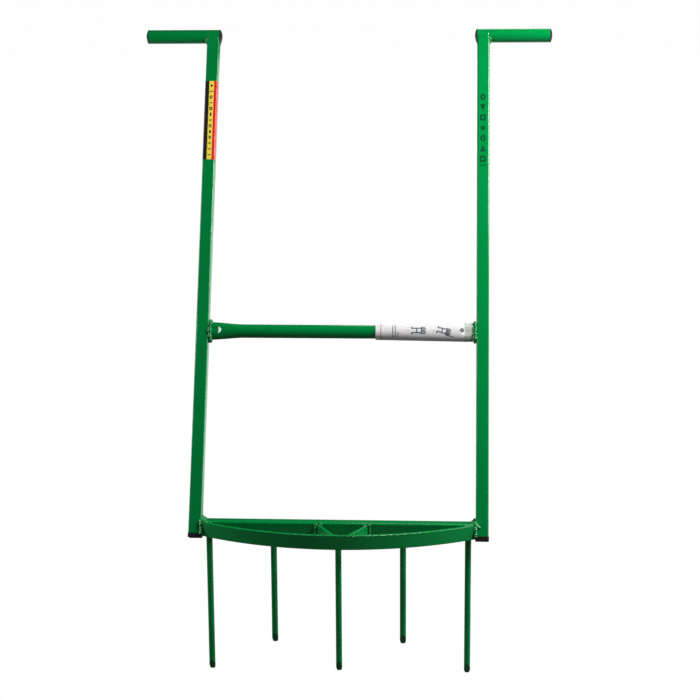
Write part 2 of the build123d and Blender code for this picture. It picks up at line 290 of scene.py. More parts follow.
@dataclass(frozen=True)
class BandedFilm(Finish):
    """Vinyl decal printed in three bands that run along the arm."""

    name: str
    left_edge: float
    width: float
    black_share: float = 0.34
    yellow_share: float = 0.39
    black: str = "#231F20"
    yellow: str = "#F6E052"
    red: str = "#E02A24"
    wave_mm: float = 8.0
    wave_height_mm: float = 0.08

    def build(self, tree: Tree) -> None:
        """Adds the three inks side by side, and the film's shallow waves."""
        place = add_node(tree, "ShaderNodeTexCoord").outputs["Object"]
        across = add_node(tree, "ShaderNodeSeparateXYZ", links={"Vector": place})
        share = add_node(
            tree, "ShaderNodeMapRange", {"From Min": self.left_edge, "From Max": self.left_edge + self.width},
            {"Value": across.outputs["X"]})
        bands = add_node(tree, "ShaderNodeValToRGB", links={"Fac": share.outputs["Result"]})
        ramp = bands.color_ramp
        ramp.interpolation = "CONSTANT"
        ramp.elements[0].color = linear(self.black)
        ramp.elements[1].position = self.black_share
        ramp.elements[1].color = linear(self.yellow)
        ramp.elements.new(self.black_share + self.yellow_share).color = linear(self.red)
        normal = relief(tree, place, self.wave_mm, self.wave_height_mm)
        shader = add_node(
            tree, "ShaderNodeBsdfPrincipled", {"Roughness": 0.3, "IOR": 1.5, "Specular IOR Level": 0.4},
            {"Base Color": bands.outputs["Color"], "Normal": normal})
        close_tree(tree, shader.outputs["BSDF"])


@dataclass(frozen=True)
class PaleFloor(Finish):
    """Matt white studio paper that glows evenly white to the camera. Behind the object it also glows to
    reflections, a painted reflection; every other ray sees dim grey paper, left in the dark before it.
    """

    name: str = "studio_paper"
    white: str = "#FEFEFE"
    fibre_white: str = "#FDFDFD"
    fibre_mm: float = 60.0
    brightness: float = 1.02
    bounce: str = "#5A5A5A"
    lit_from: float = 0.6
    lit_full: float = 1.6

    def build(self, tree: Tree) -> None:
        """Adds the paper, with its faint fibre."""
        place = add_node(tree, "ShaderNodeTexCoord").outputs["Object"]
        _, white = shades(tree, place, (self.white, self.fibre_white), self.fibre_mm, detail=2.0)
        seen = add_node(tree, "ShaderNodeEmission", {"Strength": self.brightness}, {"Color": white})
        paper = add_node(tree, "ShaderNodeBsdfDiffuse", {"Color": linear(self.bounce)})
        ray = add_node(tree, "ShaderNodeLightPath")
        depth = add_node(tree, "ShaderNodeSeparateXYZ", links={"Vector": place})
        behind = add_node(tree, "ShaderNodeMapRange", {
            "interpolation_type": "SMOOTHSTEP", "From Min": self.lit_from, "From Max": self.lit_full},
            {"Value": depth.outputs["Y"]})
        # Painted reflection: glossy rays see the paper's white glow, fading in with distance behind the
        # object, and dim grey paper in front of it.
        gloss = add_node(tree, "ShaderNodeMath", {"operation": "MULTIPLY"},
                         {0: ray.outputs["Is Glossy Ray"], 1: behind.outputs["Result"]})
        paper_or_glow = add_node(tree, "ShaderNodeMixShader", links={
            0: gloss.outputs["Value"], 1: paper.outputs["BSDF"], 2: seen.outputs["Emission"]})
        both = add_node(tree, "ShaderNodeMixShader", links={
            0: ray.outputs["Is Camera Ray"], 1: paper_or_glow.outputs["Shader"], 2: seen.outputs["Emission"]})
        close_tree(tree, both.outputs["Shader"])


COAT = PowderCoat()
WELD_COAT = PowderCoat(name="powder_coat_on_weld", roughness=0.14, specular=0.65, peel_mm=3.0,
                       peel_height_mm=0.02, lump_mm=2.4, lump_height_mm=0.08)
PLASTIC = MouldedPolyethylene()
LABEL_FILM = Film("printed_label_film", "#E0DDDD", "#D4D1D3", roughness=0.38)
CLEAR_FILM = Film("clear_shrink_film", "#DDE0DA", "#AEB8AF", roughness=0.12, wave_mm=5.0, wave_height_mm=0.8,
                  specular=0.8, alpha=0.78)
SLATE_INK = Film("slate_ink", "#2A3944", "#374753", roughness=0.4)
GREY_INK = Film("grey_ink", "#5E5D63", "#727177", roughness=0.4)
RED_INK = Film("dull_red_ink", "#6A4551", "#7B525E", roughness=0.4)
TICK_INK = Film("black_ink", "#1E1A16", "#2A251F", roughness=0.35)
MARK_VINYL = Film("cut_vinyl_dark_green", "#013A1F", "#024526", roughness=0.25, wave_height_mm=0.04)


# ---- making meshes

def select_only(*pieces: Piece) -> None:
    """Selects these pieces and nothing else, the first one active."""
    bpy.ops.object.select_all(action="DESELECT")
    for piece in pieces:
        piece.select_set(True)
    bpy.context.view_layer.objects.active = pieces[0]


def added() -> Piece:
    """Moves the newest primitive's place into its mesh and gives the object."""
    piece = bpy.context.object
    select_only(piece)
    bpy.ops.object.transform_apply(location=True, rotation=True, scale=True)
    return piece


def apply_modifier(piece: Piece, kind: str, **settings: object) -> None:
    """Adds one modifier to a piece and applies it.

    Args:
        piece: The piece to change.
        kind: The modifier's type name.
        **settings: The modifier's properties.
    """
    select_only(piece)
    modifier = piece.modifiers.new(kind.lower(), kind)
    for key, value in settings.items():
        setattr(modifier, key, value)
    bpy.ops.object.modifier_apply(modifier=modifier.name)


def join(pieces: list[Piece], name: str) -> Piece:
    """Joins pieces into one and names it.

    Args:
        pieces: The pieces, which are used up.
        name: The joined piece's name.

    Returns:
        The joined piece.
    """
    select_only(*pieces)
    if len(pieces) > 1:
        bpy.ops.object.join()
    joined = bpy.context.object
    joined.name = name
    joined.data.name = name
    return joined


def tidy_normals(piece: Piece) -> None:
    """Merges points that lie together and turns all faces outwards."""
    select_only(piece)
    bpy.ops.object.mode_set(mode="EDIT")
    bpy.ops.mesh.select_all(action="SELECT")
    bpy.ops.mesh.remove_doubles(threshold=0.01 * MM)
    bpy.ops.mesh.normals_make_consistent(inside=False)
    bpy.ops.object.mode_set(mode="OBJECT")


def hand_over(piece: Piece, finish: Finish, slot: str, *stands_for: str) -> None:
    """Dresses a finished piece, fixes it to the fork and reports it.

    Args:
        piece: The finished piece.
        finish: Its finish.
        slot: The record's material slot; not used.
        *stands_for: Frame nodes that it is shown instead of.
    """
    finish.dress(piece)
    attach(piece, BODY)
    if stands_for:
        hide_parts(*stands_for)
    LOG.info("%s: %d faces, %s", piece.name, len(piece.data.polygons), finish.name)


# ---- where things are

class Side(Enum):
    """The fork's two sides, by the sign of X."""

    LEFT = -1
    RIGHT = 1

    @property
    def word(self) -> str:
        """The side's name in node names."""
        return self.name.lower()


@dataclass(frozen=True)
class ForkPlan:
    """Where the fork's main pieces are, read from the frame.

    Lengths along an arm are measured from the crossbar's centre line.
    """

    arm_x: float
    half: float
    crossbar: Vector
    up: Vector
    front: Vector
    handle_along: float
    handle_radius: float
    bar_low: Vector
    bar_high: Vector

    @classmethod
    def read(cls) -> "ForkPlan":
        """Reads the plan from the frame's boxes.

        Returns:
            The plan.
        """
        arm_low, arm_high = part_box("right_arm")
        handle_low, handle_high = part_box("right_handle")
        cross_low, cross_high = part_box("crossbar")
        crossbar = (cross_low + cross_high) / 2
        crossbar.x = 0.0
        handle = (handle_low + handle_high) / 2
        handle.x = 0.0
        up = (handle - crossbar).normalized()
        low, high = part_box("foot_bar")
        return cls(
            arm_x=(arm_low.x + arm_high.x) / 2, half=(arm_high.x - arm_low.x) / 2, crossbar=crossbar, up=up,
            front=Vector((0.0, -up.z, up.y)), handle_along=(handle - crossbar).length,
            handle_radius=(handle_high.z - handle_low.z) / 2, bar_low=low, bar_high=high)

    @property
    def inner_x(self) -> float:
        """How far the arms' inner faces are from the middle."""
        return self.arm_x - self.half

    def on_arm(self, side: Side, across: float, forwards: float, along: float) -> Vector:
        """Gives a point by its place on an arm.

        Args:
            side: Which arm.
            across: From the arm's centre line towards +X.
            forwards: From the arm's centre line towards its front.
            along: Up the arm from the crossbar's centre line.

        Returns:
            The point in the fork's frame.
        """
        middle = self.crossbar + Vector((side.value * self.arm_x + across, 0.0, 0.0))
        return middle + self.up * along + self.front * forwards

    def along_of(self, node: str, forwards: float) -> float:
        """Gives how far up the arm a thin node's middle is.

        Args:
            node: The frame node.
            forwards: How far in front of the centre line the node lies.

        Returns:
            The length along the arm from the crossbar's centre line.
        """
        low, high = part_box(node)
        return ((low.z + high.z) / 2 - self.crossbar.z - forwards * self.front.z) / self.up.z


# ---- weld beads

@dataclass(frozen=True)
class Seam:
    """One run of weld along a path.

    Attributes:
        path: Points that the run goes through.
        radius: The bead's radius.
        pitch: Distance between two puddles.
        start_radius: The first puddle's radius where the run tapers, or 0 for an even run.
        unevenness: Share by which a puddle may be larger or smaller.
    """

    path: tuple[Vector, ...]
    radius: float
    pitch: float = 2.4 * MM
    start_radius: float = 0.0
    unevenness: float = 0.12


@dataclass
class WeldWork:
    """Lays weld beads as chains of overlapping puddles that are then fused into one skin.

    The saddle is an arm's top against its handle. The upright and the cap are a strut's, the collar a tine's.
    """

    plan: ForkPlan
    flatness: float = 0.62
    wander: float = 0.3 * MM
    voxel: float = 0.5 * MM
    seed: int = 7
    saddle_gap: float = 0.6 * MM
    saddle_out: float = 0.4 * MM
    saddle_reach: float = 11.5 * MM
    saddle_steps: int = 12
    saddle_bead: float = 3.0 * MM
    saddle_pitch: float = 0.8 * MM
    saddle_smoothing: int = 14
    strut_thickness: float = 6.0 * MM
    upright_at_bar: float = 1.2 * MM
    upright_at_bow: float = 1.4 * MM
    upright_gap: float = 1.0 * MM
    upright_bead: float = 3.3 * MM
    upright_pitch: float = 3.0 * MM
    cap_bead: float = 3.6 * MM
    collar_gap: float = 1.0 * MM
    collar_sunk: float = 0.8 * MM
    collar_steps: int = 16
    collar_bead: float = 2.2 * MM
    collar_pitch: float = 2.0 * MM
    puddle: Piece | None = field(default=None, init=False)

    def make_puddle(self) -> None:
        """Models one puddle of radius 1: a flattened ball."""
        bpy.ops.object.select_all(action="DESELECT")
        bpy.ops.mesh.primitive_ico_sphere_add(subdivisions=3, radius=1.0)
        self.puddle = added()
        bpy.ops.object.mode_set(mode="EDIT")
        bpy.ops.mesh.select_all(action="SELECT")
        bpy.ops.transform.resize(value=(1.0, 1.0, self.flatness))
        bpy.ops.object.mode_set(mode="OBJECT")

    def puddles(self, seam: Seam, dice: random.Random) -> list[Piece]:
        """Copies the puddle along one seam.

        Args:
            seam: The run to lay.
            dice: Source of the uneven sizes and places.

        Returns:
            The copies, each with its own mesh.
        """
        copies = []
        length = sum((b - a).length for a, b in zip(seam.path, seam.path[1:]))
        count = max(2, round(length / seam.pitch))
        for number in range(count + 1):
            share = number / count
            point, heading = self.place(seam.path, share * length)
            size = seam.radius
            if seam.start_radius:
                size = seam.start_radius + (seam.radius - seam.start_radius) * share
            size *= dice.uniform(1 - seam.unevenness, 1 + seam.unevenness)
            point = point + Vector([dice.uniform(-self.wander, self.wander) for _ in range(3)])
            copy = self.puddle.copy()
            copy.data = self.puddle.data.copy()
            bpy.context.collection.objects.link(copy)
            turn = heading.to_track_quat("Z", "Y").to_matrix().to_4x4()
            copy.data.transform(Matrix.Translation(point) @ turn @ Matrix.Diagonal((size, size, size, 1.0)))
            copies.append(copy)
        return copies

    @staticmethod
    def place(path: tuple[Vector, ...], distance: float) -> tuple[Vector, Vector]:
        """Finds the point and heading at a distance along a path.

        Args:
            path: The path's points.
            distance: Distance from its start.

        Returns:
            The point, and the unit vector along the path there.
        """
        for start, end in zip(path, path[1:]):
            step = (end - start).length
            if distance <= step or end is path[-1]:
                heading = (end - start).normalized()
                return start + heading * min(distance, step), heading
            distance -= step
        return path[-1], Vector((0.0, 0.0, 1.0))

    def lay(self, node: str, seams: list[Seam], smoothing: int = 2,
            patches: tuple[Piece, ...] = (), finish: Finish = WELD_COAT) -> None:
        """Lays a node's seams as one piece and shows it instead of the node.

        Args:
            node: The frame node of the weld.
            seams: The runs.
            smoothing: How many times the fused skin is smoothed.
            patches: Closed shells that are fused with the runs.
            finish: The coat on it.
        """
        dice = random.Random(f"{self.seed}{node}")
        copies = [copy for seam in seams for copy in self.puddles(seam, dice)] + list(patches)
        bead = join(copies, f"{node}_bead")
        apply_modifier(bead, "REMESH", mode="VOXEL", voxel_size=self.voxel, use_smooth_shade=True)
        apply_modifier(bead, "SMOOTH", factor=0.5, iterations=smoothing)
        hand_over(bead, finish, "green_paint", node)

    def crossbar_seams(self, side: Side) -> list[Seam]:
        """Gives the oval run round the crossbar's end.

        Args:
            side: Which end.

        Returns:
            The runs.
        """
        tall, deep, flat, stand_off, turns = 19.4 * MM, 13.4 * MM, 12.2 * MM, 2.8 * MM, 40
        middle = self.plan.crossbar + Vector((side.value * (self.plan.inner_x - stand_off), 0, 0))
        points = []
        for step in range(turns + 1):
            angle = 2 * math.pi * step / turns
            forwards = max(-flat, min(flat, deep * math.sin(angle)))
            points.append(middle + self.plan.up * (tall * math.cos(angle)) + self.plan.front * forwards)
        return [Seam(tuple(points), 3.7 * MM, pitch=3.6 * MM, unevenness=0.36)]

    def handle_seams(self, side: Side) -> list[Seam]:
        """Gives the runs round the saddle between an arm's top and its handle.

        Args:
            side: Which arm.

        Returns:
            The arc on the outer side.
        """
        plan = self.plan
        reach = plan.handle_radius + self.saddle_gap
        edge = side.value * (plan.half + self.saddle_out)
        arc = []
        for step in range(self.saddle_steps + 1):
            forwards = (step / self.saddle_steps - 0.5) * 2 * self.saddle_reach
            rise = math.sqrt(reach ** 2 - forwards ** 2)
            arc.append(plan.on_arm(side, edge, forwards, plan.handle_along - rise))
        return [Seam(tuple(arc), self.saddle_bead, self.saddle_pitch, unevenness=0.0)]

    def blend_patch(self, side: Side, face: int) -> Piece:
        """Makes the smooth fill where an arm's front or back runs out onto the handle.

        Args:
            side: Which arm.
            face: 1 for the front, -1 for the back.

        Returns:
            The fill, as a closed shell.
        """
        plan, corner, ease, sunk, margin = self.plan, 3.0 * MM, 2.2 * MM, 0.5 * MM, 0.2 * MM
        low, high = -15 * MM, 4 * MM
        bpy.ops.object.select_all(action="DESELECT")
        bpy.ops.mesh.primitive_grid_add(x_subdivisions=40, y_subdivisions=32, size=1.0)
        patch = added()
        for vertex in patch.data.vertices:
            across = vertex.co.x * 2 * (plan.half - margin)
            rise = low + (vertex.co.y + 0.5) * (high - low)
            past = max(abs(across) - (plan.half - corner), 0.0)
            flat = plan.half - corner + math.sqrt(corner ** 2 - past ** 2)
            flat = flat if rise < 0 else flat - rise
            round_face = math.sqrt(max(plan.handle_radius ** 2 - rise ** 2, 0.0))
            blended = (flat + round_face + math.sqrt((flat - round_face) ** 2 + ease ** 2)) / 2
            # It sinks into the steel over a quarter of its height at each end and a sixth of its width.
            window = min(1.0, 4 * (0.5 - abs(vertex.co.y))) * min(1.0, 6 * (0.5 - abs(vertex.co.x)))
            ground = max(flat, round_face) - sunk
            depth = ground + (blended - ground) * window
            vertex.co = plan.on_arm(side, across, face * depth, plan.handle_along + rise)
        tidy_normals(patch)
        apply_modifier(patch, "SOLIDIFY", thickness=1.5 * MM, offset=-1.0 if face > 0 else 1.0)
        tidy_normals(patch)
        return patch

    def base_seams(self, side: Side) -> list[Seam]:
        """Gives the runs where an arm, the foot bar and the bow meet.

        Args:
            side: Which arm.

        Returns:
            The runs.
        """
        out = side.value
        near = out * (self.plan.inner_x - 1.0 * MM)
        beyond = near + out * 2.5 * MM
        front_y, rear_y = self.plan.bar_low.y, self.plan.bar_high.y
        low_z, top_z = self.plan.bar_low.z, self.plan.bar_high.z
        corner = Vector((near, front_y + 1.0 * MM, top_z + 0.5 * MM))
        seams = [
            # the upright in front
            Seam((Vector((near, front_y - 4.8 * MM, low_z + 3.0 * MM)), corner), 4.3 * MM, pitch=3.4 * MM),
            # over the foot bar, and the crevice beside that run
            Seam((corner, Vector((near, rear_y - 1.0 * MM, top_z + 1.6 * MM))), 4.4 * MM, pitch=3.2 * MM,
                 unevenness=0.15),
            Seam((corner - Vector((out * 4.5 * MM, -1.5 * MM, 1.0 * MM)),
                  Vector((near - out * 4.5 * MM, rear_y - 3.0 * MM, top_z - 0.5 * MM))), 3.4 * MM,
                 pitch=3.0 * MM),
            # the bow's end, along its top and lower down
            Seam((Vector((near - out * 19 * MM, front_y - 2.5 * MM, top_z - 2.2 * MM)), corner), 3.6 * MM,
                 start_radius=2.2 * MM),
            Seam((Vector((near - out * 16 * MM, front_y - 2.0 * MM, top_z - 14 * MM)),
                  Vector((near, front_y, top_z - 12 * MM))), 3.2 * MM),
            # down the rear and under the foot bar
            Seam((Vector((near, rear_y, top_z)), Vector((near, rear_y, low_z + 2 * MM)),
                  Vector((near, front_y, low_z - 0.2 * MM))), 2.9 * MM),
            # the gap at the foot bar's end, behind and in front
            Seam((Vector((beyond, rear_y - 2.2 * MM, low_z + 2.5 * MM)),
                  Vector((beyond, rear_y - 1.2 * MM, low_z + 10 * MM))), 3.3 * MM),
            Seam((Vector((beyond, front_y + 2.0 * MM, top_z - 7 * MM)),
                  Vector((beyond, front_y + 2.6 * MM, top_z - 1 * MM))), 3.0 * MM),
        ]
        if side is Side.RIGHT:
            # the short lap onto the right arm's front
            lap = Vector((self.plan.inner_x + 6.5 * MM, front_y + 1.2 * MM, top_z - 5.5 * MM))
            seams.append(Seam((corner, lap), 3.4 * MM))
        return seams

    def strut_seams(self) -> list[Seam]:
        """Gives the uprights on both sides of each strut, at its two ends.

        Returns:
            The runs.
        """
        seams = []
        for side in Side:
            low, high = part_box(f"{side.word}_strut")
            depth, slope = high.y - low.y, 0.0
            # The box holds the slanted strut and its thickness, so its slope is found in a few steps.
            for _ in range(4):
                cut = self.strut_thickness * math.sqrt(1 + slope ** 2)
                slope = (high.x - low.x - cut) / depth
            rear_x, front_x = low.x + cut / 2, high.x - cut / 2
            if side is Side.RIGHT:
                rear_x, front_x = front_x, rear_x
            rear_y, front_y = high.y - self.upright_at_bar, low.y + self.upright_at_bow
            for x, y in ((rear_x, rear_y), (front_x, front_y)):
                for hand in (-1, 1):
                    beside = x + hand * (cut / 2 + self.upright_gap)
                    path = (Vector((beside, y, low.z + 1.5 * MM)), Vector((beside, y, high.z + 0.5 * MM)))
                    seams.append(Seam(path, self.upright_bead, self.upright_pitch))
                if y == rear_y:
                    cap = Vector((x + cut / 2 + 0.6 * MM, y - 0.6 * MM, high.z + 0.2 * MM))
                    seams.append(Seam((cap, cap + Vector((1.5 * MM, 0, 0.4 * MM))), self.cap_bead))
        return seams

    def tine_seams(self) -> list[Seam]:
        """Gives the ring round each tine under the foot bar.

        Returns:
            The runs.
        """
        seams = []
        for number in range(1, 6):
            low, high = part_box(f"tine_{number}")
            reach = (high.x - low.x) / 2 + self.collar_gap
            middle = Vector(((low.x + high.x) / 2, (low.y + high.y) / 2, high.z - self.collar_sunk))
            points = []
            for step in range(self.collar_steps + 1):
                angle = 2 * math.pi * step / self.collar_steps
                points.append(middle + Vector((reach * math.cos(angle), reach * math.sin(angle), 0)))
            seams.append(Seam(tuple(points), self.collar_bead, self.collar_pitch))
        return seams

    def build(self) -> None:
        """Lays every weld of the fork."""
        self.make_puddle()
        for side in Side:
            self.lay(f"{side.word}_crossbar_weld", self.crossbar_seams(side), smoothing=1)
            patches = (self.blend_patch(side, 1), self.blend_patch(side, -1))
            saddle = self.handle_seams(side)
            self.lay(f"{side.word}_handle_weld", saddle, self.saddle_smoothing, patches, COAT)
            self.lay(f"{side.word}_base_weld", self.base_seams(side), smoothing=1)
        self.lay("strut_welds", self.strut_seams(), smoothing=1)
        self.lay("tine_welds", self.tine_seams(), smoothing=1)
        bpy.data.objects.remove(self.puddle)


# ---- flat prints

class Shape(Enum):
    """Plain outlines for marks: number of sides and turn in degrees."""

    RING = (28, 0.0)
    SQUARE = (4, 45.0)
    DIAMOND = (4, 0.0)
    HEXAGON = (6, 30.0)
    TRIANGLE_UP = (3, 0.0)
    TRIANGLE_DOWN = (3, 180.0)


def flat_stroke(start: tuple[float, float], end: tuple[float, float], width: float) -> Piece:
    """Makes a straight stroke lying on the XY plane.

    Args:
        start: One end of its centre line.
        end: The other end.
        width: Its width.

    Returns:
        The stroke.
    """
    a, b = Vector((*start, 0.0)), Vector((*end, 0.0))
    angle = math.atan2(b.y - a.y, b.x - a.x)
    bpy.ops.mesh.primitive_plane_add(size=1.0)
    stroke = added()
    size = Matrix.Diagonal(((b - a).length + width * 0.6, width, 1.0, 1.0))
    stroke.data.transform(Matrix.Translation((a + b) / 2) @ Matrix.Rotation(angle, 4, "Z") @ size)
    return stroke


def flat_outline(shape: Shape, centre: tuple[float, float], width: float, height: float,
                 stroke: float) -> Piece:
    """Makes an outlined shape lying on the XY plane.

    Args:
        shape: Which outline.
        centre: Its middle.
        width: Overall width.
        height: Overall height.
        stroke: Width of the line.

    Returns:
        The outlined shape, with its inside cut out.
    """
    sides, turn = shape.value
    bpy.ops.mesh.primitive_circle_add(vertices=sides, radius=1.0, fill_type="NGON")
    outline = added()
    outline.data.transform(Matrix.Rotation(math.radians(turn), 4, "Z"))
    xs = [v.co.x for v in outline.data.vertices]
    ys = [v.co.y for v in outline.data.vertices]
    outline.data.transform(Matrix.Translation((-(min(xs) + max(xs)) / 2, -(min(ys) + max(ys)) / 2, 0)))
    across, up = width / (max(xs) - min(xs)), height / (max(ys) - min(ys))
    outline.data.transform(Matrix.Diagonal((across, up, 1.0, 1.0)))
    select_only(outline)
    bpy.ops.object.mode_set(mode="EDIT")
    bpy.ops.mesh.select_all(action="SELECT")
    bpy.ops.mesh.inset(thickness=stroke, use_boundary=True)
    bpy.ops.mesh.delete(type="FACE")
    bpy.ops.object.mode_set(mode="OBJECT")
    outline.data.transform(Matrix.Translation((*centre, 0.0)))
    return outline


def film_from(shapes: list[Piece], name: str, thickness: float, cuts: int = 0) -> Piece:
    """Turns flat shapes into one thin film with a closed skin.

    Args:
        shapes: The flat shapes, which are used up.
        name: The film's name.
        thickness: The film's thickness, upwards from the XY plane.
        cuts: How many times each edge is cut, so that the film can bend.

    Returns:
        The film.
    """
    film = join(shapes, name)
    if cuts:
        bpy.ops.object.mode_set(mode="EDIT")
        bpy.ops.mesh.select_all(action="SELECT")
        bpy.ops.mesh.quads_convert_to_tris(quad_method="BEAUTY", ngon_method="BEAUTY")
        bpy.ops.mesh.subdivide(number_cuts=cuts)
        bpy.ops.object.mode_set(mode="OBJECT")
    apply_modifier(film, "SOLIDIFY", thickness=thickness, offset=1.0)
    return film


@dataclass
class ArmPrints:
    """The decal's print on the left arm and the column of plain marks on the right arm."""

    plan: ForkPlan
    film: float = 0.2 * MM
    mark_width: float = 11.0 * MM
    mark_height: float = 12.6 * MM
    mark_pitch: float = 21.7 * MM
    mark_stroke: float = 2.8 * MM
    mark_shift: float = -0.8 * MM
    underline_height: float = 1.6 * MM
    underline_gap: float = 8.0 * MM
    mark_shapes: tuple[Shape, ...] = (
        Shape.SQUARE, Shape.TRIANGLE_UP, Shape.HEXAGON, Shape.DIAMOND, Shape.SQUARE, Shape.TRIANGLE_DOWN,
        Shape.HEXAGON)
    decal_forwards: float = 7.6 * MM
    decal_margin: float = 12.0 * MM
    decal_lift: float = 0.26 * MM
    band_middle: float = 0.9 * MM
    seed: int = 21
    tick_count: int = 13
    tick_half_mm: tuple[float, float] = (2.0, 2.8)
    tick_height: float = 6.5 * MM
    tick_stroke: float = 1.7 * MM
    dash_stroke: float = 2.0 * MM
    ink: float = 0.05 * MM

    def press_on(self, film: Piece, side: Side, lift: float) -> None:
        """Moves a flat film onto an arm's front face, its Y up the arm.

        Args:
            film: The film, lying on the XY plane.
            side: Which arm.
            lift: Height of its underside over the arm's face.
        """
        for vertex in film.data.vertices:
            x, y, z = vertex.co
            vertex.co = self.plan.on_arm(side, x, self.plan.half + lift + z, y)
        tidy_normals(film)

    def marks(self) -> None:
        """Cuts seven plain marks and an underline, and presses them on the right arm."""
        low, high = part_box("arm_marks")
        middle = self.plan.along_of("arm_marks", self.plan.half)
        length = (high.z - low.z) / self.plan.up.z
        start = middle - length / 2
        shapes = []
        for number, shape in enumerate(self.mark_shapes):
            height = start + self.underline_gap + number * self.mark_pitch + self.mark_height / 2
            shapes.append(flat_outline(shape, (self.mark_shift, height), self.mark_width, self.mark_height,
                                       self.mark_stroke))
        half, line = self.mark_width / 2, start + self.underline_height / 2
        shapes.append(flat_stroke((self.mark_shift - half, line), (self.mark_shift + half, line),
                                  self.underline_height))
        film = film_from(shapes, "cut_vinyl_marks", self.film)
        self.press_on(film, Side.RIGHT, 0.0)
        hand_over(film, MARK_VINYL, "mark_vinyl", "arm_marks")

    def decal(self) -> None:
        """Gives the decal its three bands, and prints a column of plain ticks on the middle one."""
        low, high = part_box("arm_decal")
        edge = -self.plan.arm_x - self.plan.half
        BandedFilm("printed_three_band_vinyl", edge, 2 * self.plan.half).dress(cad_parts["arm_decal"])
        middle = self.plan.along_of("arm_decal", self.decal_forwards)
        length = (high.z - low.z) / self.plan.up.z - self.decal_margin
        dice = random.Random(self.seed)
        shapes = []
        for number in range(self.tick_count):
            height = middle + length * ((number + 0.5) / self.tick_count - 0.5)
            half = dice.uniform(*self.tick_half_mm) * MM
            shape = dice.choice((Shape.SQUARE, Shape.HEXAGON, Shape.DIAMOND, None))
            if shape:
                shapes.append(flat_outline(shape, (self.band_middle, height), 2 * half, self.tick_height,
                                           self.tick_stroke))
            else:
                ends = ((self.band_middle - half, height), (self.band_middle + half, height))
                shapes.append(flat_stroke(*ends, self.dash_stroke))
        film = film_from(shapes, "decal_ticks", self.ink)
        self.press_on(film, Side.LEFT, self.decal_lift)
        hand_over(film, TICK_INK, "decal_film")

    def build(self) -> None:
        """Makes the prints of both arms."""
        self.decal()
        self.marks()


# ---- label sleeve

# Waves of film round the sleeve: how many, their turn per mm along it, their start and their share of the
# height. The last are only where the film is tight.
RIPPLES = ((5, 0.13, 0.0, 1.0), (11, -0.31, 1.1, 0.7), (3, 0.05, 0.4, 0.4), (17, 0.52, 2.3, 0.5))

# A plain wide fork lying on its side, in mm: arms, handles, crossbar, foot bar and five tines.
FORK_STROKES = (
    ((-13, 4.5), (6, 4.5)), ((-13, -4.5), (6, -4.5)), ((-13, 4.5), (-13, 8)), ((-13, -4.5), (-13, -8)),
    ((-3, -4.5), (-3, 4.5)), ((6, -7), (6, 7)),
    ((6, -6), (13, -6)), ((6, -3), (15, -3)), ((6, 0), (13, 0)), ((6, 3), (15, 3)), ((6, 6), (13, 6)),
)


